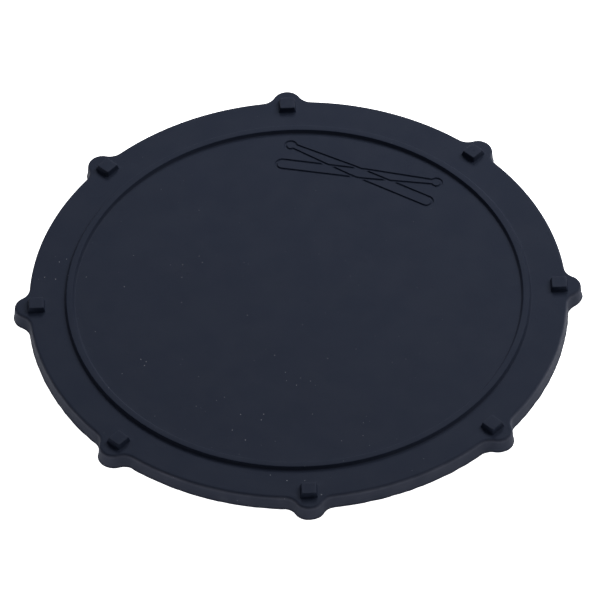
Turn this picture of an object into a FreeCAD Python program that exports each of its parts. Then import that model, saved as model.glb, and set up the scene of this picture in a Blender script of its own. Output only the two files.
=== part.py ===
"""Drum practice pad: a rubber moulding shaped like a drum seen from above, on a bonded backing.

The moulding is one piece of silicone rubber. Its flange copies a drum's hoop, with eight ears and
a square tension-rod head on each, and a raised bead rings the playing face. A stiff disc and a
non-slip sheet are bonded into its underside, and the pad stands on the sheet.

Frame: millimetres, origin on the floor under the centre, +Z up, +Y towards the emblem. The ears
stand half a pitch either side of +Y.
"""

import FreeCAD, Part
import math
import os

import Sketcher

DIMENSIONS = {
    # outline of the moulding
    "hoop_diameter": 228.6,
    "ear_count": 8,
    "ear_tip_diameter": 240.8,
    "ear_nose_radius": 6.2,
    "ear_root_radius": 6.4,
    "wall_draft": 4.0,
    "face_height": 7.5,
    "edge_radius": 1.2,
    # raised bead round the playing face
    "bead_inner_diameter": 190.2,
    "bead_foot_width": 3.9,
    "bead_top_width": 2.7,
    "bead_height": 1.5,
    "bead_edge_radius": 0.5,
    # square heads on the ears
    "boss_circle_diameter": 222.2,
    "boss_foot_width": 7.2,
    "boss_height": 2.4,
    "boss_draft": 12.5,
    "boss_edge_radius": 0.35,
    # emblem: the outlines of two crossed drumsticks, cut as grooves in the playing face
    "emblem_radius": 75.8,
    "emblem_depth": 0.5,
    "groove_width": 0.9,
    "stick_length": 72.0,
    "stick_width": 5.4,
    "stick_neck_width": 2.6,
    "stick_tip_width": 4.6,
    "stick_straight_share": 0.55,
    "stick_slant": 10.0,
    # backing, from the floor up
    "grip_diameter": 196.0,
    "grip_thickness": 1.5,
    "grip_proud": 0.3,
    "grip_edge_radius": 0.3,
    "bond_thickness": 0.2,
    "core_diameter": 188.0,
    "core_thickness": 2.5,
    "core_chamfer": 0.4,
    "recess_clearance": 0.3,
}

# How far a tool shape runs past the face it joins or cuts.
OVERRUN = 1.0

# Heights nearer than this count as the same.
SAME_HEIGHT = 1e-4

# The least volume, in cubic millimetres, that a stick's groove has to remove.
LEAST_CUT = 1.0


def dimension_sheet(doc):
    """The driving dimensions, one alias a row."""
    sheet = doc.addObject("Spreadsheet::Sheet", "Dimensions")
    for row, (alias, value) in enumerate(DIMENSIONS.items(), start=1):
        sheet.set(f"A{row}", alias)
        sheet.set(f"B{row}", str(value))
        sheet.setAlias(f"B{row}", alias)
    doc.recompute()
    return sheet


def expression(text):
    """An expression in the sheet's aliases, with the sheet's name put before each."""
    for alias in sorted(DIMENSIONS, key=len, reverse=True):
        text = text.replace(f"[{alias}]", f"Dimensions.{alias}")
    return text


def number(sheet, text):
    """The value of an expression now."""
    found = sheet.evalExpression(expression(text))
    return float(getattr(found, "Value", found))


def new_body(doc, label):
    body = doc.addObject("PartDesign::Body", label)
    body.Label = label
    return body


def origin_feature(body, role):
    return next(f for f in body.Origin.OriginFeatures if f.Role == role)


def new_sketch(body, name, plane, height="0"):
    """A sketch on one of the body's planes, or raised above it by height."""
    sketch = body.newObject("Sketcher::SketchObject", name)
    sketch.AttachmentSupport = [(origin_feature(body, plane), "")]
    sketch.MapMode = "FlatFace"
    sketch.setExpression("AttachmentOffset.Base.z", expression(height))
    return sketch


class Rules:
    """Constraints gathered for one sketch, so that the solver runs once for all of them."""

    def __init__(self, sketch, sheet):
        self.sketch = sketch
        self.sheet = sheet
        self.constraints = []
        self.texts = {}

    def add(self, kind, *where):
        self.constraints.append(Sketcher.Constraint(kind, *where))

    def size(self, kind, *where):
        """A constraint whose last argument is an expression."""
        text = where[-1]
        self.texts[len(self.constraints)] = text
        self.add(kind, *where[:-1], number(self.sheet, text))

    def point(self, geometry, end, x, y):
        """Holds a point at expressions x and y."""
        self.size("DistanceX", -1, 1, geometry, end, x)
        self.size("DistanceY", -1, 1, geometry, end, y)

    def apply(self):
        first = self.sketch.ConstraintCount
        self.sketch.addConstraint(self.constraints)
        for index, text in self.texts.items():
            self.sketch.setExpression(f"Constraints[{first + index}]", expression(text))


def polygon(sketch, sheet, corners):
    """A closed outline of straight lines, each corner held at a pair of expressions."""
    places = [FreeCAD.Vector(number(sheet, x), number(sheet, y), 0) for x, y in corners]
    following = places[1:] + places[:1]
    lines = [sketch.addGeometry(Part.LineSegment(a, b), False) for a, b in zip(places, following)]
    rules = Rules(sketch, sheet)
    for line, after in zip(lines, lines[1:] + lines[:1]):
        rules.add("Coincident", line, 2, after, 1)
    for line, (x, y) in zip(lines, corners):
        rules.point(line, 1, x, y)
    rules.apply()


def circle(sketch, sheet, radius):
    centre = FreeCAD.Vector(0, 0, 0)
    upright = FreeCAD.Vector(0, 0, 1)
    ring = sketch.addGeometry(Part.Circle(centre, upright, number(sheet, radius)), False)
    rules = Rules(sketch, sheet)
    rules.add("Coincident", ring, 3, -1, 1)
    rules.size("Radius", ring, radius)
    rules.apply()


def pad(body, name, sketch, length, taper="0"):
    feature = body.newObject("PartDesign::Pad", name)
    feature.Profile = sketch
    feature.setExpression("Length", expression(length))
    feature.setExpression("TaperAngle", expression(taper))
    sketch.Visibility = False
    return feature


def pocket(body, name, sketch, depth):
    feature = body.newObject("PartDesign::Pocket", name)
    feature.Profile = sketch
    feature.setExpression("Length", expression(depth))
    sketch.Visibility = False
    return feature


def revolve(body, kind, name, sketch):
    """A Revolution or Groove of a sketch about its own vertical axis."""
    feature = body.newObject(f"PartDesign::{kind}", name)
    feature.Profile = sketch
    feature.ReferenceAxis = (sketch, ["V_Axis"])
    feature.Angle = 360.0
    sketch.Visibility = False
    return feature


def dress(doc, body, kind, name, size_name, size, chosen):
    """A Fillet or Chamfer on the edges of the body so far that the test chosen picks."""
    doc.recompute()
    base = body.Tip
    edges = [f"Edge{i}" for i, edge in enumerate(base.Shape.Edges, start=1) if chosen(edge)]
    if not edges:
        raise RuntimeError(f"{name} found no edges")
    feature = body.newObject(f"PartDesign::{kind}", name)
    feature.Base = (base, edges)
    feature.setExpression(size_name, expression(size))
    return feature


def volume_so_far(doc, body):
    doc.recompute()
    return body.Tip.Shape.Volume


def at_height(edge, height):
    box = edge.BoundBox
    return abs(box.ZMin - height) < SAME_HEIGHT and abs(box.ZMax - height) < SAME_HEIGHT


def arc(sketch, centre, radius, start, end):
    """An arc run anticlockwise from angle start to angle end."""
    whole = Part.Circle(centre, FreeCAD.Vector(0, 0, 1), radius)
    return sketch.addGeometry(Part.ArcOfCircle(whole, start, end), False)


def hoop_outline(sketch, sheet, grown):
    """The rim circle with an ear at each pitch: a round nose with a hollow root on either side.

    grown is how far the outline stands outside its size at the top face.
    """
    count = int(number(sheet, "[ear_count]"))
    rim_text = f"[hoop_diameter] / 2 + {grown}"
    nose_text = f"[ear_nose_radius] + {grown}"
    root_text = f"[ear_root_radius] - {grown}"
    nose_centre_text = "[ear_tip_diameter] / 2 - [ear_nose_radius]"
    rim = number(sheet, rim_text)
    nose = number(sheet, nose_text)
    root = number(sheet, root_text)
    nose_centre = number(sheet, nose_centre_text)
    # The root circle touches the rim and the nose, so its centre is a known distance from both.
    root_along = ((rim + root) ** 2 - (nose + root) ** 2 + nose_centre**2) / (2 * nose_centre)
    root_aside = math.sqrt((rim + root) ** 2 - root_along**2)
    root_bearing = math.atan2(root_aside, root_along)
    nose_bearing = math.atan2(root_aside, root_along - nose_centre)

    def place(distance, angle):
        return FreeCAD.Vector(distance * math.cos(angle), distance * math.sin(angle), 0)

    pitch = 2 * math.pi / count
    noses, befores, afters, rims = [], [], [], []
    for ear in range(count):
        turn = ear * pitch
        noses.append(
            arc(sketch, place(nose_centre, turn), nose, turn - nose_bearing, turn + nose_bearing)
        )
        befores.append(
            arc(
                sketch,
                place(rim + root, turn - root_bearing),
                root,
                turn - nose_bearing + math.pi,
                turn - root_bearing + math.pi,
            )
        )
        afters.append(
            arc(
                sketch,
                place(rim + root, turn + root_bearing),
                root,
                turn + root_bearing + math.pi,
                turn + nose_bearing + math.pi,
            )
        )
        rims.append(
            arc(
                sketch,
                FreeCAD.Vector(0, 0, 0),
                rim,
                turn + root_bearing,
                turn + pitch - root_bearing,
            )
        )
    rules = Rules(sketch, sheet)
    for ear in range(count):
        following = (ear + 1) % count
        for joint in (
            (befores[ear], 1, noses[ear], 1),
            (noses[ear], 2, afters[ear], 2),
            (afters[ear], 1, rims[ear], 1),
            (rims[ear], 2, befores[following], 2),
        ):
            rules.add("Tangent", *joint)
        bearing = f"({ear} * 360 / [ear_count])"
        along = f"({nose_centre_text}) * cos({bearing})"
        aside = f"({nose_centre_text}) * sin({bearing})"
        rules.point(noses[ear], 3, along, aside)
        rules.add("Coincident", rims[ear], 3, -1, 1)
    for group, text in ((noses, nose_text), (rims, rim_text), (befores + afters, root_text)):
        rules.size("Radius", group[0], text)
        for other in group[1:]:
            rules.add("Equal", group[0], other)
    rules.apply()


def add_hoop(doc, sheet, body):
    """The moulding's block: drafted outer wall, rounded at the top edge."""
    grown = "([face_height] - [grip_proud]) * tan([wall_draft])"
    sketch = new_sketch(body, "hoop_sketch", "XY_Plane", height="[grip_proud]")
    hoop_outline(sketch, sheet, grown)
    pad(body, "hoop_pad", sketch, "[face_height] - [grip_proud]", taper="-[wall_draft]")
    face = number(sheet, "[face_height]")
    dress(
        doc, body, "Fillet", "hoop_edge", "Radius", "[edge_radius]", lambda e: at_height(e, face)
    )


def add_bead(doc, sheet, body):
    """The raised ring that edges the playing face."""
    inner = "[bead_inner_diameter] / 2"
    outer = f"{inner} + [bead_foot_width]"
    slope = "([bead_foot_width] - [bead_top_width]) / 2"
    top = "[face_height] + [bead_height]"
    root = f"[face_height] - {OVERRUN}"
    sketch = new_sketch(body, "bead_sketch", "XZ_Plane")
    polygon(
        sketch,
        sheet,
        [
            (inner, root),
            (outer, root),
            (outer, "[face_height]"),
            (f"{outer} - {slope}", top),
            (f"{inner} + {slope}", top),
            (inner, "[face_height]"),
        ],
    )
    revolve(body, "Revolution", "bead", sketch)
    height = number(sheet, top)
    dress(
        doc,
        body,
        "Fillet",
        "bead_edge",
        "Radius",
        "[bead_edge_radius]",
        lambda e: at_height(e, height),
    )


def add_bosses(doc, sheet, body):
    """A square head on each ear, its sides along and across the radius."""
    half = "[boss_foot_width] / 2"
    centre = "[boss_circle_diameter] / 2"
    sketch = new_sketch(body, "boss_sketch", "XY_Plane", height="[face_height]")
    polygon(
        sketch,
        sheet,
        [
            (f"{centre} - {half}", f"-({half})"),
            (f"{centre} + {half}", f"-({half})"),
            (f"{centre} + {half}", half),
            (f"{centre} - {half}", half),
        ],
    )
    boss = pad(body, "boss", sketch, "[boss_height]", taper="-[boss_draft]")
    doc.recompute()
    pattern = body.newObject("PartDesign::PolarPattern", "boss_ring")
    pattern.Originals = [boss]
    pattern.Axis = (origin_feature(body, "Z_Axis"), [""])
    pattern.Angle = 360.0
    pattern.setExpression("Occurrences", expression("[ear_count]"))
    body.Tip = pattern
    face = number(sheet, "[face_height]")
    above_bead = number(sheet, "[face_height] + ([bead_height] + [boss_height]) / 2")
    dress(
        doc,
        body,
        "Fillet",
        "boss_edge",
        "Radius",
        "[boss_edge_radius]",
        lambda e: e.BoundBox.ZMax > above_bead and e.BoundBox.ZMin > face - SAME_HEIGHT,
    )


def stick_outline(sketch, sheet, grown):
    """A drumstick lying along the sketch's X axis, its middle on the origin and its tip at +X.

    grown is how far the outline stands outside the stick's own size.
    """
    half = f"([stick_width] / 2 + {grown})"
    tip_half = f"([stick_tip_width] / 2 + {grown})"
    neck_half = f"([stick_neck_width] / 2 + {grown})"
    butt_text = "[stick_width] / 2 - [stick_length] / 2"
    tip_text = "[stick_length] / 2 - [stick_tip_width] / 2"
    shoulder_text = "([stick_straight_share] - 0.5) * [stick_length]"
    butt = number(sheet, half)
    neck = number(sheet, neck_half)
    tip = number(sheet, tip_half)
    shoulder = number(sheet, shoulder_text)
    butt_x = number(sheet, butt_text)
    tip_x = number(sheet, tip_text)
    neck_x = tip_x - math.sqrt(tip**2 - neck**2)
    neck_angle = math.atan2(neck, neck_x - tip_x)

    def line(x1, y1, x2, y2):
        ends = FreeCAD.Vector(x1, y1, 0), FreeCAD.Vector(x2, y2, 0)
        return sketch.addGeometry(Part.LineSegment(*ends), False)

    butt_arc = arc(sketch, FreeCAD.Vector(butt_x, 0, 0), butt, math.pi / 2, 3 * math.pi / 2)
    low_side = line(butt_x, -butt, shoulder, -butt)
    low_taper = line(shoulder, -butt, neck_x, -neck)
    tip_arc = arc(sketch, FreeCAD.Vector(tip_x, 0, 0), tip, -neck_angle, neck_angle)
    high_taper = line(neck_x, neck, shoulder, butt)
    high_side = line(shoulder, butt, butt_x, butt)
    rules = Rules(sketch, sheet)
    around = (butt_arc, low_side, low_taper, tip_arc, high_taper, high_side)
    for first, second in zip(around, around[1:] + around[:1]):
        rules.add("Coincident", first, 2, second, 1)
    rules.point(low_side, 1, butt_text, f"-({half})")
    rules.point(high_side, 2, butt_text, half)
    rules.point(low_side, 2, shoulder_text, f"-({half})")
    rules.point(high_side, 1, shoulder_text, half)
    rules.size("DistanceX", -1, 1, butt_arc, 3, butt_text)
    rules.point(tip_arc, 3, tip_text, "0")
    rules.size("Radius", tip_arc, tip_half)
    rules.size("DistanceY", -1, 1, tip_arc, 1, f"-({neck_half})")
    rules.size("DistanceY", -1, 1, tip_arc, 2, neck_half)
    rules.apply()


def add_emblem(doc, sheet, body):
    """Grooves along the outlines of two drumsticks that cross in their middle."""
    # The body is turned half a pitch once it is built, so the emblem is drawn half a pitch back.
    across = "(-180 / [ear_count])"
    for name, slant in (("left", "180 - [stick_slant]"), ("right", "[stick_slant]")):
        sketch = new_sketch(body, f"{name}_stick_sketch", "XY_Plane", height="[face_height]")
        sketch.setExpression(
            "AttachmentOffset.Base.x", expression(f"[emblem_radius] * cos(90 + {across})")
        )
        sketch.setExpression(
            "AttachmentOffset.Base.y", expression(f"[emblem_radius] * sin(90 + {across})")
        )
        sketch.setExpression("AttachmentOffset.Rotation.Angle", expression(f"{slant} + {across}"))
        stick_outline(sketch, sheet, "[groove_width] / 2")
        stick_outline(sketch, sheet, "-[groove_width] / 2")
        before = volume_so_far(doc, body)
        pocket(body, f"{name}_stick", sketch, "[emblem_depth]")
        if volume_so_far(doc, body) > before - LEAST_CUT:
            raise RuntimeError(f"the {name} stick cut nothing")


def add_recess(doc, sheet, body):
    """The stepped recess under the moulding: wide for the grip sheet, narrower above for the core."""
    wide = "[grip_diameter] / 2 + [recess_clearance]"
    narrow = "[core_diameter] / 2 + [recess_clearance]"
    step = "[grip_thickness] + [bond_thickness]"
    ceiling = f"{step} + [core_thickness] + [bond_thickness]"
    below = f"-{OVERRUN}"
    sketch = new_sketch(body, "recess_sketch", "XZ_Plane")
    polygon(
        sketch,
        sheet,
        [("0", below), (wide, below), (wide, step), (narrow, step), (narrow, ceiling), ("0", ceiling)],
    )
    expected = math.pi * number(sheet, narrow) ** 2 * number(sheet, "[core_thickness]")
    before = volume_so_far(doc, body)
    revolve(body, "Groove", "recess", sketch)
    if before - volume_so_far(doc, body) < expected:
        raise RuntimeError("the recess cut too little")


def pad_moulding(doc, sheet):
    """The one-piece rubber moulding, built with an ear on +X and then turned half a pitch."""
    body = new_body(doc, "pad_moulding")
    add_hoop(doc, sheet, body)
    add_bead(doc, sheet, body)
    add_bosses(doc, sheet, body)
    add_emblem(doc, sheet, body)
    add_recess(doc, sheet, body)
    body.setExpression("Placement.Rotation.Angle", expression("180 / [ear_count]"))
    return body


def disc(doc, sheet, label, diameter, thickness, height, dressing):
    """A flat disc whose lower face is at height, with one edge treatment."""
    body = new_body(doc, label)
    sketch = new_sketch(body, f"{label}_sketch", "XY_Plane")
    circle(sketch, sheet, f"{diameter} / 2")
    pad(body, f"{label}_pad", sketch, thickness)
    kind, size_name, size, chosen = dressing
    dress(doc, body, kind, f"{label}_edge", size_name, size, chosen)
    body.setExpression("Placement.Base.z", expression(height))
    return body


def grip_sheet(doc, sheet):
    """The non-slip sheet that the pad stands on, its lower edge rounded."""
    dressing = ("Fillet", "Radius", "[grip_edge_radius]", lambda e: at_height(e, 0))
    return disc(doc, sheet, "grip_sheet", "[grip_diameter]", "[grip_thickness]", "0", dressing)


def core_disc(doc, sheet):
    """The stiff disc that keeps the pad flat, with both rims chamfered."""
    dressing = ("Chamfer", "Size", "[core_chamfer]", lambda e: len(e.Vertexes) == 1)
    height = "[grip_thickness] + [bond_thickness]"
    return disc(doc, sheet, "core_disc", "[core_diameter]", "[core_thickness]", height, dressing)


def bond_film(doc, label, radius, height):
    """A film of double-sided adhesive."""
    film = doc.addObject("Part::Cylinder", label)
    film.Label = label
    film.setExpression("Radius", expression(radius))
    film.setExpression("Height", expression("[bond_thickness]"))
    film.setExpression("Placement.Base.z", expression(height))
    return film


def check(doc, sub_parts):
    """Stops the build if any object failed or a sub-part's shape isn't one valid solid."""
    for item in doc.Objects:
        if "Invalid" in item.State or "Error" in item.State:
            raise RuntimeError(f"{item.Label} failed: {item.State}")
    for item in sub_parts:
        shape = item.Shape
        if shape.isNull() or not shape.isValid() or len(shape.Solids) != 1:
            raise RuntimeError(f"{item.Label} isn't one valid solid")


def main():
    doc = FreeCAD.newDocument("practice_pad")
    sheet = dimension_sheet(doc)
    core_top = "[grip_thickness] + [bond_thickness] + [core_thickness]"
    sub_parts = [
        pad_moulding(doc, sheet),
        grip_sheet(doc, sheet),
        bond_film(doc, "grip_bond", "[grip_diameter] / 2", "[grip_thickness]"),
        core_disc(doc, sheet),
        bond_film(doc, "core_bond", "[core_diameter] / 2 - [core_chamfer]", core_top),
    ]
    doc.recompute()
    check(doc, sub_parts)
    os.makedirs("parts", exist_ok=True)
    for item in sub_parts:
        item.Shape.exportStep(f"parts/{item.Label}.step")
        box = item.Shape.BoundBox
        size = " x ".join(f"{length:.2f}" for length in (box.XLength, box.YLength, box.ZLength))
        print(f"{item.Label}: {size} mm, z {box.ZMin:.2f} to {box.ZMax:.2f}")


main()
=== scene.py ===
"""Looks of a drum practice pad: a dark silicone moulding on a bonded backing, on a white floor.

The moulding and its non-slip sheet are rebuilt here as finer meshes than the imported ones. The
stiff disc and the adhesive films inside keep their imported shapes. Lengths are in millimetres
until a mesh is made, and metres from there on.
"""

import math

import bpy
from mathutils import Matrix, Vector, kdtree, noise
from mathutils.geometry import delaunay_2d_cdt


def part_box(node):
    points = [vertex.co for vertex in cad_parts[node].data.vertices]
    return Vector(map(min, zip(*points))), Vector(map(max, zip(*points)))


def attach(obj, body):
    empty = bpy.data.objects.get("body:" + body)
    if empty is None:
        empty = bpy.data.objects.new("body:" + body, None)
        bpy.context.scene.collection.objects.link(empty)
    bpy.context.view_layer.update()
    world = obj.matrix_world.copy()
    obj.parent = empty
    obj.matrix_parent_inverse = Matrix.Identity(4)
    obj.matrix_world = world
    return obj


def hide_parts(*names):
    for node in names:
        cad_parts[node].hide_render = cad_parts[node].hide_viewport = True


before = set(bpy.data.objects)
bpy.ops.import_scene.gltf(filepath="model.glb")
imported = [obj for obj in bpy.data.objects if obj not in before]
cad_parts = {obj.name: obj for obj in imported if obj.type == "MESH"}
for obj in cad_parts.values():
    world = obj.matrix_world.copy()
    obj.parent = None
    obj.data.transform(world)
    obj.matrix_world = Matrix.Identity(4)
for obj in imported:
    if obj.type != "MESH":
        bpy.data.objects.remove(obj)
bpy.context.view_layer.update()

MM = 0.001
TURN = 2 * math.pi

# noise_vector starts from the clock unless it is seeded.
NOISE_SEED = 7

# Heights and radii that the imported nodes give.
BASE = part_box("pad_moulding")[0].z / MM
BOSS_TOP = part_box("pad_moulding")[1].z / MM
GRIP_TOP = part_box("grip_sheet")[1].z / MM
GRIP_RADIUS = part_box("grip_sheet")[1].x / MM
CORE_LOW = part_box("core_disc")[0].z / MM
CORE_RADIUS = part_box("core_disc")[1].x / MM
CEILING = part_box("core_bond")[1].z / MM

# Outline of the moulding, at the height of its face.
EARS = 8
EAR_PITCH = TURN / EARS
FIRST_EAR = EAR_PITCH / 2
EAR_TURNS = [Matrix.Rotation(FIRST_EAR + ear * EAR_PITCH, 2) for ear in range(EARS)]
RIM_RADIUS = 114.3
EAR_TIP_RADIUS = 120.4
NOSE_RADIUS = 6.2
NOSE_CENTRE = EAR_TIP_RADIUS - NOSE_RADIUS
ROOT_RADIUS = 6.4
WALL_DRAFT = math.radians(4.0)
EDGE_RADIUS = 1.2
EDGE_CENTRE = -EDGE_RADIUS * (1 - math.sin(WALL_DRAFT)) / math.cos(WALL_DRAFT)
FACE_BORDER = 0.6
FACE_EDGE = EDGE_CENTRE - FACE_BORDER

# Raised features of the moulding.
BOSS_HEIGHT = 2.4
FACE = BOSS_TOP - BOSS_HEIGHT
BEAD_INNER = 95.1
BEAD_OUTER = 99.0
BEAD_SLOPE = 0.6
BEAD_HEIGHT = 1.5
BEAD_CROWN = 0.03
BEAD_EDGE_RADIUS = 0.4
FOOT_RADIUS = 0.35
BEAD_FOOT_RADIUS = 0.55
BOSS_CENTRE = 111.1
BOSS_HALF = 3.6
BOSS_SLOPE = 0.53
BOSS_CORNER = 0.55
BOSS_EDGE_RADIUS = 0.4
RECESS_CLEARANCE = 0.3

# Emblem: the outlines of two crossed drumsticks, cut as grooves in the face.
EMBLEM_RADIUS = 75.8
EMBLEM_DEPTH = 0.5
EMBLEM_WALL = 0.4
GROOVE_HALF = 0.45
GROOVE_COLLAR = 0.25
STICK_LENGTH = 72.0
STICK_HALF = 2.7
STICK_NECK = 1.3
STICK_TIP = 2.3
STICK_SHOULDER = 3.6
STICK_SLANT = math.radians(10.0)

# How finely the meshes are divided.
NOSE_STEPS = 22
ROOT_STEPS = 9
RIM_STEPS = 44
CORNER_STEPS = 6
RING_STEPS = 480
GRIP_STEPS = 240
FLAT_SPACING = 2.6
CAP_SPACING = 1.1
CAP_CLEAR = 0.45
CAP_MARGIN = 0.8
SAME_POINT = 1e-5

# How the cast rubber strays from its drawing. Each wave has a size and a height, and the waves
# fade out over the lowest stretch. The flash is a lip along the foot of the wall, from FLASH_FOOT
# to FLASH_TOP above the base, and its unevenness has a fineness and a depth.
WAVES = ((26.0, 0.04), (9.0, 0.015))
WAVES_FADE = 2.5
FLASH_TOP = 1.0
FLASH_FOOT = 0.05
FLASH_LUMPS = ((30, 0.22), (120, 0.1))

# How much paler each surface is painted, from 0 to 1. On the outer wall, its flash and its rounded
# upper edge this is painted light, standing in for light thrown up from the white floor; on the bead
# and the heads' top edges it stands for rubbing.
WALL_PAINTED_LIGHT = 0.5
FLASH_PAINTED_LIGHT = 0.7
BEAD_WEAR = 0.2
BOSS_WEAR = 0.1


def polar(radius, angle):
    return Vector((radius * math.cos(angle), radius * math.sin(angle)))


def steps(start, end, count):
    """count + 1 values from start to end."""
    return [start + (end - start) * i / count for i in range(count + 1)]


def ring(radius, count=RING_STEPS):
    return [polar(radius, TURN * i / count) for i in range(count)]


def root_place(grown):
    """Where the hollow root beside an ear is centred, and the bearings of its two joints.

    grown is how far the outline stands outside its size at the face.
    """
    rim, nose, root = RIM_RADIUS + grown, NOSE_RADIUS + grown, ROOT_RADIUS - grown
    along = ((rim + root) ** 2 - (nose + root) ** 2 + NOSE_CENTRE**2) / (2 * NOSE_CENTRE)
    aside = math.sqrt((rim + root) ** 2 - along**2)
    return along, aside, math.atan2(aside, along), math.atan2(aside, along - NOSE_CENTRE)


def outline(grown):
    """The moulding's outline, offset outwards by grown.

    It runs from each ear to the next: a root, the nose, the other root, then the bare rim.
    """
    rim, nose, root = RIM_RADIUS + grown, NOSE_RADIUS + grown, ROOT_RADIUS - grown
    along, aside, rim_joint, nose_joint = root_place(grown)
    low_root = [
        Vector((along, -aside)) + polar(root, a)
        for a in steps(math.pi - rim_joint, math.pi - nose_joint, ROOT_STEPS)
    ]
    tip = [
        Vector((NOSE_CENTRE, 0)) + polar(nose, a)
        for a in steps(-nose_joint, nose_joint, NOSE_STEPS)
    ]
    high_root = [Vector((p.x, -p.y)) for p in reversed(low_root)]
    bare_rim = [polar(rim, a) for a in steps(rim_joint, EAR_PITCH - rim_joint, RIM_STEPS)]
    piece = low_root[:-1] + tip[:-1] + high_root[:-1] + bare_rim[:-1]
    return [turn @ p for turn in EAR_TURNS for p in piece]


def within_outline(point, grown):
    """Whether a point is inside the outline offset outwards by grown."""
    rim, nose, root = RIM_RADIUS + grown, NOSE_RADIUS + grown, ROOT_RADIUS - grown
    reach = point.length
    if reach < rim:
        return True
    angle = math.atan2(point.y, point.x) - FIRST_EAR
    aside_angle = abs((angle + EAR_PITCH / 2) % EAR_PITCH - EAR_PITCH / 2)
    local = polar(reach, aside_angle)
    along, aside, rim_joint, nose_joint = root_place(grown)
    joint = Vector((NOSE_CENTRE, 0)) + polar(nose, nose_joint)
    if aside_angle < math.atan2(joint.y, joint.x):
        return (local - Vector((NOSE_CENTRE, 0))).length < nose
    if aside_angle < rim_joint:
        return (local - Vector((along, aside))).length > root and local.x < along
    return False


def rounded_square(half, corner):
    """A square with rounded corners, centred on the origin, with no points between its corners."""
    points = []
    for quarter in range(4):
        turn = Matrix.Rotation(quarter * math.pi / 2, 2)
        centre = Vector((half - corner, half - corner))
        points += [turn @ (centre + polar(corner, a)) for a in steps(0, math.pi / 2, CORNER_STEPS)]
    return points


def stick_loop(grown):
    """A drumstick's outline along X, its tip at +X, offset outwards by grown."""
    butt = STICK_HALF + grown
    neck = STICK_NECK + grown
    tip = STICK_TIP + grown
    butt_x = STICK_HALF - STICK_LENGTH / 2
    tip_x = STICK_LENGTH / 2 - STICK_TIP
    neck_x = tip_x - math.sqrt(tip**2 - neck**2)
    neck_angle = math.atan2(neck, neck_x - tip_x)
    points = [Vector((butt_x, 0)) + polar(butt, a) for a in steps(math.pi / 2, 1.5 * math.pi, 12)]
    points += [Vector((x, -butt)) for x in steps(butt_x, STICK_SHOULDER, 20)[1:]]
    taper = steps(0, 1, 16)[1:-1]
    low_shoulder = Vector((STICK_SHOULDER, -butt))
    points += [low_shoulder.lerp(Vector((neck_x, -neck)), t) for t in taper]
    points += [Vector((tip_x, 0)) + polar(tip, a) for a in steps(-neck_angle, neck_angle, 14)]
    high_neck = Vector((neck_x, neck))
    points += [high_neck.lerp(Vector((STICK_SHOULDER, butt)), t) for t in taper]
    points += [Vector((x, butt)) for x in steps(STICK_SHOULDER, butt_x, 20)[:-1]]
    return points


def stick_distance(point):
    """How far outside a drumstick's outline a point is, in the stick's own axes."""
    butt_x = STICK_HALF - STICK_LENGTH / 2
    tip_x = STICK_LENGTH / 2 - STICK_TIP
    neck_x = tip_x - math.sqrt(STICK_TIP**2 - STICK_NECK**2)
    to_tip = (point - Vector((tip_x, 0))).length - STICK_TIP
    if point.x < butt_x:
        return (point - Vector((butt_x, 0))).length - STICK_HALF
    if point.x > neck_x:
        return to_tip
    share = max(0.0, (point.x - STICK_SHOULDER) / (neck_x - STICK_SHOULDER))
    side = abs(point.y) - (STICK_HALF + (STICK_NECK - STICK_HALF) * share)
    return min(side, to_tip)


STICK_FRAMES = [
    Matrix.Translation((0, EMBLEM_RADIUS, 0)) @ Matrix.Rotation(turn, 4, "Z")
    for turn in (STICK_SLANT, math.pi - STICK_SLANT)
]


def emblem_distance(point):
    """How far outside the grooves along both drumsticks a point of the face is."""
    flat = Vector((point.x, point.y, 0))
    off_outline = [abs(stick_distance((f.inverted() @ flat).to_2d())) for f in STICK_FRAMES]
    return min(off_outline) - GROOVE_HALF


def smooth(value):
    value = min(1.0, max(0.0, value))
    return value * value * (3 - 2 * value)


def emblem_height(point):
    """Height of the face at a point in or beside the emblem."""
    return FACE - EMBLEM_DEPTH * smooth(0.5 - emblem_distance(point) / EMBLEM_WALL)


def turned_arc(centre, radius, start, end, count):
    """(offset, height) points on an arc."""
    return [tuple(Vector(centre) + polar(radius, a)) for a in steps(start, end, count)]


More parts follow.
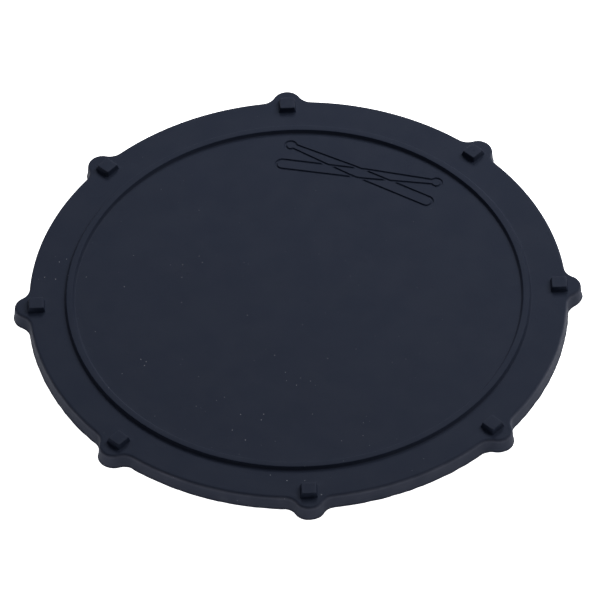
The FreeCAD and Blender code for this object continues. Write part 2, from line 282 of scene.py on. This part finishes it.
class Draft:
    """A mesh being put together from loops, in millimetres."""

    def __init__(self):
        self.points = []
        self.wear_and_painted_light = []
        self.faces = []

    def add(self, flat, height, wear_and_painted_light=0.0):
        self.points.append(Vector((flat.x, flat.y, height)))
        self.wear_and_painted_light.append(wear_and_painted_light)
        return len(self.points) - 1

    def loop(self, flats, height, wear_and_painted_light=0.0):
        return [self.add(p, height, wear_and_painted_light) for p in flats]

    def strip(self, first, second):
        """Quads between two loops of the same count.

        Seen from above, they face up when second lies inside first.
        """
        count = len(first)
        for i in range(count):
            j = (i + 1) % count
            self.faces.append((first[i], first[j], second[j], second[i]))

    def strips(self, loops):
        for first, second in zip(loops, loops[1:]):
            self.strip(first, second)

    def fill(self, loops, spots, inside, height, up=True):
        """Triangles between loops, through spots, wherever inside says so of a triangle's middle."""
        known = [i for loop in loops for i in loop]
        edges = []
        for loop in loops:
            first = len(edges)
            edges += [(first + k, first + (k + 1) % len(loop)) for k in range(len(loop))]
        flats = [self.points[i].to_2d() for i in known] + list(spots)
        made = delaunay_2d_cdt(flats, edges, [], 1, SAME_POINT)
        out_points, out_faces, origins = made[0], made[2], made[3]
        names = []
        for flat, origin in zip(out_points, origins):
            old = [known[o] for o in origin if o < len(known)]
            names.append(old[0] if old else self.add(flat, height(flat)))
        for face in out_faces:
            middle = sum((out_points[v] for v in face), Vector((0, 0))) / len(face)
            if inside(middle):
                corners = [names[v] for v in face]
                self.faces.append(tuple(corners if up else reversed(corners)))

    def mesh(self, name, shift):
        """The Blender mesh, in metres, each point moved by shift."""
        mesh = bpy.data.meshes.new(name)
        moved = [(p + shift(p)) * MM for p in self.points]
        mesh.from_pydata(moved, [], self.faces)
        # Each point's paleness: painted light on the outer wall, its flash and its upper edge, rubbed
        # wear on the bead and the heads.
        mesh.attributes.new("wear_and_painted_light", "FLOAT", "POINT").data.foreach_set("value", self.wear_and_painted_light)
        mesh.validate()
        mesh.update()
        return mesh


def lattice(reach, spacing, loops, clear, inside):
    """A triangular lattice of spots, kept clear of the loops' points."""
    taken = [p for loop in loops for p in loop]
    tree = kdtree.KDTree(len(taken))
    for i, p in enumerate(taken):
        tree.insert((p.x, p.y, 0), i)
    tree.balance()
    rows = int(reach / (spacing * math.sin(math.pi / 3))) + 1
    columns = int(reach / spacing) + 1
    spots = []
    for row in range(-rows, rows + 1):
        for column in range(-columns, columns + 1):
            spot = Vector(((column + 0.5 * (row % 2)) * spacing, row * spacing * math.sin(math.pi / 3)))
            if inside(spot) and tree.find((spot.x, spot.y, 0))[2] > clear:
                spots.append(spot)
    return spots


def local_to_boss(point):
    """A point of the flange in the axes of the nearest ear's boss."""
    ear = round((math.atan2(point.y, point.x) - FIRST_EAR) / EAR_PITCH)
    turned = Matrix.Rotation(-(FIRST_EAR + ear * EAR_PITCH), 2) @ point
    return turned - Vector((BOSS_CENTRE, 0))


def in_boss(point):
    """Whether a point is inside the loop round a boss's foot."""
    corner = BOSS_CORNER + FOOT_RADIUS
    straight = BOSS_HALF - BOSS_CORNER
    beyond = Vector([max(0.0, abs(a) - straight) for a in local_to_boss(point)])
    return beyond.length < corner


def add_bosses(draft):
    """A square head on each ear. Returns the loop round each one's foot."""
    draft_angle = math.atan2(BOSS_SLOPE, BOSS_HEIGHT)
    foot = [
        (FOOT_RADIUS * (1 - math.sin(a)), FACE + FOOT_RADIUS * (1 - math.cos(a)))
        for a in steps(0, math.pi / 2 - draft_angle, 3)
    ]
    top_half = BOSS_HALF - BOSS_SLOPE
    wall = [(-BOSS_SLOPE * share, FACE + BOSS_HEIGHT * share) for share in (0.3, 0.55, 0.8)]
    edge_centre = (-BOSS_SLOPE - BOSS_EDGE_RADIUS * 0.8, BOSS_TOP - BOSS_EDGE_RADIUS)
    edge = turned_arc(edge_centre, BOSS_EDGE_RADIUS, draft_angle, math.pi / 2, 5)
    profile = [(offset, height, 0.0) for offset, height in foot + wall]
    profile += [(offset, height, BOSS_WEAR) for offset, height in edge]
    feet = []
    for place in EAR_TURNS:
        loops = []
        for offset, height, wear_and_painted_light in profile:
            square = rounded_square(BOSS_HALF + offset, BOSS_CORNER + max(0.0, offset))
            flats = [place @ (p + Vector((BOSS_CENTRE, 0))) for p in square]
            loops.append(draft.loop(flats, height, wear_and_painted_light))
        draft.strips(loops)
        cap = [draft.points[i].to_2d() for i in loops[-1]]
        middle = place @ Vector((BOSS_CENTRE, 0))
        spots = lattice(
            RIM_RADIUS + NOSE_RADIUS,
            CAP_SPACING,
            [cap],
            CAP_CLEAR,
            lambda p, m=middle: (p - m).length < top_half * 1.4
            and max(map(abs, local_to_boss(p))) < top_half - CAP_MARGIN,
        )
        draft.fill([loops[-1]], spots, lambda p: True, lambda p: BOSS_TOP)
        feet.append(loops[0])
    return feet


def add_bead(draft):
    """The raised ring round the playing face. Returns its outermost and innermost loops."""
    lean = math.atan2(BEAD_SLOPE, BEAD_HEIGHT)
    foot = [
        (BEAD_FOOT_RADIUS * (1 - math.sin(a)), FACE + BEAD_FOOT_RADIUS * (1 - math.cos(a)))
        for a in steps(0, math.pi / 2 - lean, 5)
    ]
    wall = [(-BEAD_SLOPE * 0.62, FACE + BEAD_HEIGHT * 0.66)]
    edge_centre = (-BEAD_SLOPE - BEAD_EDGE_RADIUS * 0.7, FACE + BEAD_HEIGHT - BEAD_EDGE_RADIUS)
    edge = turned_arc(edge_centre, BEAD_EDGE_RADIUS, lean, math.pi / 2, 5)
    half = [(offset, height, BEAD_WEAR) for offset, height in foot[1:] + wall]
    half = [(*foot[0], 0.0)] + half + [(offset, height, 0.0) for offset, height in edge]
    outside = [(BEAD_OUTER + offset, height, wear_and_painted_light) for offset, height, wear_and_painted_light in half]
    inside = [(BEAD_INNER - offset, height, wear_and_painted_light) for offset, height, wear_and_painted_light in reversed(half)]
    crown = [((BEAD_INNER + BEAD_OUTER) / 2, FACE + BEAD_HEIGHT + BEAD_CROWN, 0.0)]
    loops = [draft.loop(ring(r), height, wear_and_painted_light) for r, height, wear_and_painted_light in outside + crown + inside]
    draft.strips(loops)
    return loops[0], loops[-1]


def add_edge(draft):
    """The rounded upper edge, the outer wall and its flash. Returns the first and last loops."""
    edge = turned_arc((EDGE_CENTRE, FACE - EDGE_RADIUS), EDGE_RADIUS, math.pi / 2, WALL_DRAFT, 7)
    profile = [(FACE_EDGE, FACE, 0.0)]
    # The rounded upper edge is painted paler towards the wall: painted light, lifting the shade where
    # the edge faces neither the floor nor the lamps.
    profile += [(*place, smooth((k - 1) / 4)) for k, place in enumerate(edge)]
    wall_end = BASE + 0.9
    # The wall and the flash at its foot are painted paler: painted light standing in for light thrown
    # up from the white floor.
    for height in steps(edge[-1][1], wall_end, 6)[1:]:
        profile.append(((FACE - height) * math.tan(WALL_DRAFT), height, WALL_PAINTED_LIGHT))
    foot = (FACE - BASE) * math.tan(WALL_DRAFT)
    profile += [
        (foot + 0.02, BASE + 0.62, WALL_PAINTED_LIGHT),
        (foot + 0.16, BASE + 0.42, FLASH_PAINTED_LIGHT),
        (foot + 0.17, BASE + 0.24, FLASH_PAINTED_LIGHT),
        (foot - 0.02, BASE + 0.06, 0.0),
        (foot - 0.35, BASE, 0.0),
    ]
    loops = [draft.loop(outline(grown), height, wear_and_painted_light) for grown, height, wear_and_painted_light in profile]
    draft.strips(loops[::-1])
    return loops[0], loops[-1]


def add_underside(draft, last):
    """The ring underneath and the stepped recess, from the wall's last loop inwards."""
    around = [draft.points[i].to_2d() for i in last]
    wide = GRIP_RADIUS + RECESS_CLEARANCE
    narrow = CORE_RADIUS + RECESS_CLEARANCE
    loops = [last]
    for share in (0.3, 0.65, 1.0):
        loops.append(draft.loop([p.lerp(p.normalized() * wide, share) for p in around], BASE))
    rings = [(wide, CORE_LOW), (narrow, CORE_LOW)]
    rings += [(narrow * share, CEILING) for share in (1.0, 0.8, 0.55, 0.3, 0.1)]
    for radius, height in rings:
        loops.append(draft.loop([p.normalized() * radius for p in around], height))
    draft.strips(loops[::-1])
    hub = draft.add(Vector((0, 0)), CEILING)
    for i, here in enumerate(loops[-1]):
        after = loops[-1][(i + 1) % len(around)]
        draft.faces.append((hub, after, here))


def add_flange(draft, edge_loop, feet, bead_loop):
    """The flat flange between the rounded edge and the bead, round the feet of the bosses."""
    loops = [edge_loop, bead_loop] + feet
    flats = [[draft.points[i].to_2d() for i in loop] for loop in loops]

    def inside(point):
        clear = BEAD_OUTER + BEAD_FOOT_RADIUS < point.length
        return clear and within_outline(point, FACE_EDGE) and not in_boss(point)

    spots = lattice(RIM_RADIUS + NOSE_RADIUS, FLAT_SPACING, flats, FLAT_SPACING * 0.6, inside)
    draft.fill(loops, spots, inside, lambda p: FACE)


def add_face(draft, bead_loop):
    """The playing face, with the grooves of its emblem."""
    loops = [bead_loop]
    mouth = GROOVE_HALF + EMBLEM_WALL / 2
    floor = GROOVE_HALF - EMBLEM_WALL / 2
    collar = mouth + GROOVE_COLLAR
    for grown in (collar, mouth, floor, -floor, -mouth, -collar):
        for placed in STICK_FRAMES:
            flats = [(placed @ p.to_3d()).to_2d() for p in stick_loop(grown)]
            loops.append([draft.add(p, emblem_height(p)) for p in flats])
    flats = [[draft.points[i].to_2d() for i in loop] for loop in loops]
    reach = BEAD_INNER - BEAD_FOOT_RADIUS
    spots = lattice(
        reach, FLAT_SPACING, flats, FLAT_SPACING * 0.5, lambda p: p.length < reach - 0.5
    )
    draft.fill(loops, spots, lambda p: p.length < reach, emblem_height)


def moulding_shift(point):
    """How far the cast rubber strays from its drawing: gentle waves that fade out at the floor."""
    fade = smooth((point.z - BASE) / WAVES_FADE)
    waves = sum((noise.noise_vector(point / size) * height for size, height in WAVES), Vector())
    if point.z > BASE + FLASH_TOP or point.z < BASE + FLASH_FOOT:
        return waves * fade
    bearing = math.atan2(point.y, point.x)
    outwards = Vector((math.cos(bearing), math.sin(bearing), 0))
    flash = sum(noise.noise(outwards * lumps) * depth for lumps, depth in FLASH_LUMPS)
    return waves * fade + outwards * flash


def make_piece(mesh, node, material):
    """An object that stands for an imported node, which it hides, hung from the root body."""
    piece = bpy.data.objects.new(f"{node}_detail", mesh)
    bpy.context.scene.collection.objects.link(piece)
    mesh.materials.append(material)
    mesh.polygons.foreach_set("use_smooth", [True] * len(mesh.polygons))
    mesh.set_sharp_from_angle(angle=math.radians(40))
    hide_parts(node)
    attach(piece, "root")
    return piece


def pad_moulding(material):
    """The rubber moulding, one closed surface."""
    draft = Draft()
    edge_loop, last = add_edge(draft)
    add_underside(draft, last)
    bead_outside, bead_inside = add_bead(draft)
    feet = add_bosses(draft)
    add_flange(draft, edge_loop, feet, bead_outside)
    add_face(draft, bead_inside)
    mesh = draft.mesh("pad_moulding_detail", moulding_shift)
    return make_piece(mesh, "pad_moulding", material)


def grip_sheet(material):
    """The foam sheet that the pad stands on, soft at its lower edge."""
    draft = Draft()
    soft = 0.35
    profile = [(GRIP_RADIUS * share, GRIP_TOP) for share in (0.35, 0.7, 0.9)]
    profile += [(GRIP_RADIUS - 0.1, GRIP_TOP), (GRIP_RADIUS, GRIP_TOP - 0.1)]
    profile += turned_arc((GRIP_RADIUS - soft, soft), soft, 0, -math.pi / 2, 5)
    profile += [(GRIP_RADIUS * share, 0.0) for share in steps(0.96, 0.08, 22)]
    loops = [draft.loop(ring(r, GRIP_STEPS), height) for r, height in profile]
    draft.strips(loops[::-1])
    for loop, height, up in ((loops[0], GRIP_TOP, True), (loops[-1], 0.0, False)):
        hub = draft.add(Vector((0, 0)), height)
        for i, here in enumerate(loop):
            after = loop[(i + 1) % len(loop)]
            draft.faces.append((hub, here, after) if up else (hub, after, here))
    mesh = draft.mesh("grip_sheet_detail", lambda p: Vector((0, 0, 0)))
    piece = make_piece(mesh, "grip_sheet", material)
    return piece


class Nodes:
    """A material's node tree, built by name."""

    def __init__(self, name):
        self.material = bpy.data.materials.new(name)
        self.material.use_nodes = True
        self.tree = self.material.node_tree
        self.shader = self.tree.nodes["Principled BSDF"]
        self.place = self.add("ShaderNodeTexCoord").outputs["Object"]

    def add(self, kind, **settings):
        node = self.tree.nodes.new(kind)
        for name, value in settings.items():
            setattr(node, name, value)
        return node

    def link(self, start, end):
        self.tree.links.new(start, end)

    def noise(self, size, detail=2.0, roughness=0.5):
        """Cloudy noise whose blobs are about size metres across."""
        node = self.add("ShaderNodeTexNoise")
        node.inputs["Scale"].default_value = 1 / size
        node.inputs["Detail"].default_value = detail
        node.inputs["Roughness"].default_value = roughness
        self.link(self.place, node.inputs["Vector"])
        return node.outputs["Fac"]

    def ramp(self, value, low, high, bottom=0.0, top=1.0):
        """Maps low..high of a value to bottom..top, smoothly."""
        node = self.add("ShaderNodeMapRange", interpolation_type="SMOOTHSTEP")
        for name, number in (
            ("From Min", low),
            ("From Max", high),
            ("To Min", bottom),
            ("To Max", top),
        ):
            node.inputs[name].default_value = number
        self.link(value, node.inputs["Value"])
        return node.outputs["Result"]

    def math(self, operation, first, second):
        node = self.add("ShaderNodeMath", operation=operation)
        for socket, value in zip(node.inputs, (first, second)):
            if isinstance(value, (int, float)):
                socket.default_value = value
            else:
                self.link(value, socket)
        return node.outputs["Value"]

    def mix(self, share, first, second):
        """A colour share of the way from first to second."""
        node = self.add("ShaderNodeMix", data_type="RGBA")
        self.link(share, node.inputs["Factor"])
        for socket, value in ((node.inputs[6], first), (node.inputs[7], second)):
            if isinstance(value, tuple):
                socket.default_value = (*value, 1.0)
            else:
                self.link(value, socket)
        return node.outputs[2]

    def bump(self, height, distance, strength, below=None):
        node = self.add("ShaderNodeBump")
        node.inputs["Distance"].default_value = distance
        node.inputs["Strength"].default_value = strength
        self.link(height, node.inputs["Height"])
        if below is not None:
            self.link(below, node.inputs["Normal"])
        return node.outputs["Normal"]

    def specks(self, spacing, radius, share):
        """1 on small round specks, one in share of the cells that spacing sets, and 0 elsewhere."""
        cells = self.add("ShaderNodeTexVoronoi")
        cells.inputs["Scale"].default_value = 1 / spacing
        self.link(self.place, cells.inputs["Vector"])
        near = self.ramp(cells.outputs["Distance"], radius / spacing, 0.6 * radius / spacing)
        split = self.add("ShaderNodeSeparateColor")
        self.link(cells.outputs["Color"], split.inputs["Color"])
        chosen = self.math("LESS_THAN", split.outputs["Red"], share)
        return self.math("MULTIPLY", near, chosen)


def silicone():
    """Matt dark blue-grey silicone: fine grain, faint clouding, a little dust, and paler walls and
    edges, which are painted light from the floor on the outer wall and its edge and rubbing on the bead
    and the heads.
    """
    n = Nodes("silicone_rubber")
    cloud = n.ramp(n.noise(0.03, 4.0, 0.6), 0.3, 0.7)
    colour = n.mix(cloud, (0.0091, 0.0130, 0.0252), (0.0095, 0.0135, 0.0261))
    wear_and_painted_light = n.add("ShaderNodeAttribute", attribute_name="wear_and_painted_light").outputs["Fac"]
    # Paler colour where the mesh says so: painted light on the outer wall, its flash and its upper
    # edge, rubbed wear on the bead and the heads' edges.
    painted_light_and_wear_share = n.math("MULTIPLY", wear_and_painted_light, n.ramp(n.noise(0.009, 3.0), 0.3, 0.7, 0.32, 0.55))
    colour = n.mix(painted_light_and_wear_share, colour, (0.058, 0.061, 0.080))
    axes = n.add("ShaderNodeSeparateXYZ")
    n.link(n.place, axes.inputs["Vector"])
    across = n.math("MULTIPLY", axes.outputs["X"], 0.6)
    dusty_side = n.ramp(n.math("ADD", across, axes.outputs["Y"]), 0.03, -0.09, 0.15, 1.0)
    dust_area = n.math("MULTIPLY", dusty_side, n.ramp(n.noise(0.02, 2.0), 0.45, 0.60))
    dust = n.math("MULTIPLY", n.specks(0.0024, 0.00024, 0.24), dust_area)
    colour = n.mix(dust, colour, (0.20, 0.21, 0.24))
    n.link(colour, n.shader.inputs["Base Color"])
    n.link(n.ramp(n.noise(0.012, 3.0), 0.3, 0.7, 0.74, 0.78), n.shader.inputs["Roughness"])
    grain = n.bump(n.noise(0.0006, 3.0, 0.6), 0.00006, 0.55)
    n.link(n.bump(n.noise(0.005, 2.0), 0.0003, 0.12, grain), n.shader.inputs["Normal"])
    n.shader.inputs["IOR"].default_value = 1.41
    n.shader.inputs["Specular IOR Level"].default_value = 0.12
    return n.material


def foam_rubber():
    """Matt black foam rubber with fine cells, each painted darker towards its middle as shade in its
    hollow.
    """
    n = Nodes("grip_rubber")
    cells = n.add("ShaderNodeTexVoronoi")
    cells.inputs["Scale"].default_value = 1 / 0.0009
    n.link(n.place, cells.inputs["Vector"])
    # Painted shade: each cell is darker towards its middle, where its hollow lies; the same pattern
    # dents the surface.
    pore_shade_and_dent = n.ramp(cells.outputs["Distance"], 0.0, 0.45)
    n.link(n.mix(pore_shade_and_dent, (0.006, 0.006, 0.007), (0.019, 0.019, 0.021)), n.shader.inputs["Base Color"])
    n.link(n.ramp(n.noise(0.008, 3.0), 0.3, 0.7, 0.8, 0.95), n.shader.inputs["Roughness"])
    n.link(n.bump(pore_shade_and_dent, 0.0002, 0.8), n.shader.inputs["Normal"])
    return n.material


def hardboard():
    """Pressed brown hardboard with short fibres."""
    n = Nodes("hardboard")
    fibre = n.ramp(n.noise(0.0016, 6.0, 0.7), 0.3, 0.7)
    n.link(n.mix(fibre, (0.085, 0.045, 0.020), (0.16, 0.092, 0.045)), n.shader.inputs["Base Color"])
    n.link(n.ramp(n.noise(0.01, 3.0), 0.3, 0.7, 0.6, 0.8), n.shader.inputs["Roughness"])
    n.link(n.bump(fibre, 0.0002, 0.5), n.shader.inputs["Normal"])
    return n.material


def adhesive():
    """Pale adhesive film, slightly blotchy."""
    n = Nodes("adhesive_film")
    blotch = n.ramp(n.noise(0.007, 4.0), 0.35, 0.65)
    n.link(n.mix(blotch, (0.42, 0.37, 0.27), (0.56, 0.51, 0.40)), n.shader.inputs["Base Color"])
    n.link(n.ramp(n.noise(0.004, 3.0), 0.3, 0.7, 0.25, 0.45), n.shader.inputs["Roughness"])
    n.link(n.bump(blotch, 0.0001, 0.3), n.shader.inputs["Normal"])
    return n.material


def dress_node(node, material):
    """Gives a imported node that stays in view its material."""
    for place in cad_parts[node].material_slots:
        place.material = material


def add_floor():
    """A wide white floor that glows, just under the pad."""
    reach = 6.0
    below = -0.00002
    mesh = bpy.data.meshes.new("floor")
    corners = [(-reach, -reach), (reach, -reach), (reach, reach), (-reach, reach)]
    mesh.from_pydata([(x, y, below) for x, y in corners], [], [(0, 1, 2, 3)])
    floor = bpy.data.objects.new("floor", mesh)
    bpy.context.scene.collection.objects.link(floor)
    n = Nodes("floor_paper")
    n.shader.inputs["Base Color"].default_value = (0.86, 0.86, 0.87, 1.0)
    n.shader.inputs["Roughness"].default_value = 0.9
    n.shader.inputs["Specular IOR Level"].default_value = 0.1
    n.shader.inputs["Emission Color"].default_value = (1.0, 1.0, 1.0, 1.0)
    n.shader.inputs["Emission Strength"].default_value = 1.3
    mesh.materials.append(n.material)


def add_light(name, place, size, power):
    """A square soft light at place, aimed at the origin."""
    data = bpy.data.lights.new(name, "AREA")
    data.shape = "SQUARE"
    data.size = size
    data.energy = power
    light = bpy.data.objects.new(name, data)
    light.location = place
    light.rotation_euler = (-Vector(place)).to_track_quat("-Z", "Y").to_euler()
    bpy.context.scene.collection.objects.link(light)


def add_studio():
    """A soft key light behind, a fill behind it to the right and a dim room."""
    world = bpy.data.worlds.new("room")
    world.use_nodes = True
    world.node_tree.nodes["Background"].inputs["Color"].default_value = (0.9, 0.93, 1.0, 1.0)
    world.node_tree.nodes["Background"].inputs["Strength"].default_value = 0.22
    bpy.context.scene.world = world
    add_light("key", (-0.33, 1.05, 0.82), size=0.4, power=14)
    add_light("fill", (0.42, 0.66, 0.80), size=0.6, power=9.8)
    view = bpy.context.scene.view_settings
    view.view_transform = "Standard"
    view.look = "None"


# The camera stands far off and looks down, turned a little from the emblem's side.
CAMERA_AZIMUTH = math.radians(21.03)
CAMERA_ELEVATION = math.radians(47.46)
CAMERA_ROLL = math.radians(1.235)
CAMERA_DISTANCE = 4.684
CAMERA_LENS = 660.8
CAMERA_SLIDE = Vector((0.00077, 0.00332, 0))


def add_camera():
    """A long lens, so that the far side of the pad looks barely smaller than the near side."""
    data = bpy.data.cameras.new("camera")
    data.lens = CAMERA_LENS
    data.sensor_width = 36
    data.clip_start = 0.1
    data.clip_end = 50
    camera = bpy.data.objects.new("camera", data)
    away = Vector(
        (
            math.sin(CAMERA_AZIMUTH) * math.cos(CAMERA_ELEVATION),
            -math.cos(CAMERA_AZIMUTH) * math.cos(CAMERA_ELEVATION),
            math.sin(CAMERA_ELEVATION),
        )
    )
    aim = (-away).to_track_quat("-Z", "Y").to_matrix()
    aim = aim @ Matrix.Rotation(-CAMERA_ROLL, 3, "Z")
    place = away * CAMERA_DISTANCE + aim @ CAMERA_SLIDE
    camera.matrix_world = Matrix.Translation(place) @ aim.to_4x4()
    bpy.context.scene.collection.objects.link(camera)
    bpy.context.scene.camera = camera


def main():
    noise.seed_set(NOISE_SEED)
    pad_moulding(silicone())
    grip_sheet(foam_rubber())
    dress_node("core_disc", hardboard())
    film = adhesive()
    for node in ("core_bond", "grip_bond"):
        dress_node(node, film)
    add_floor()
    add_studio()
    add_camera()


main()
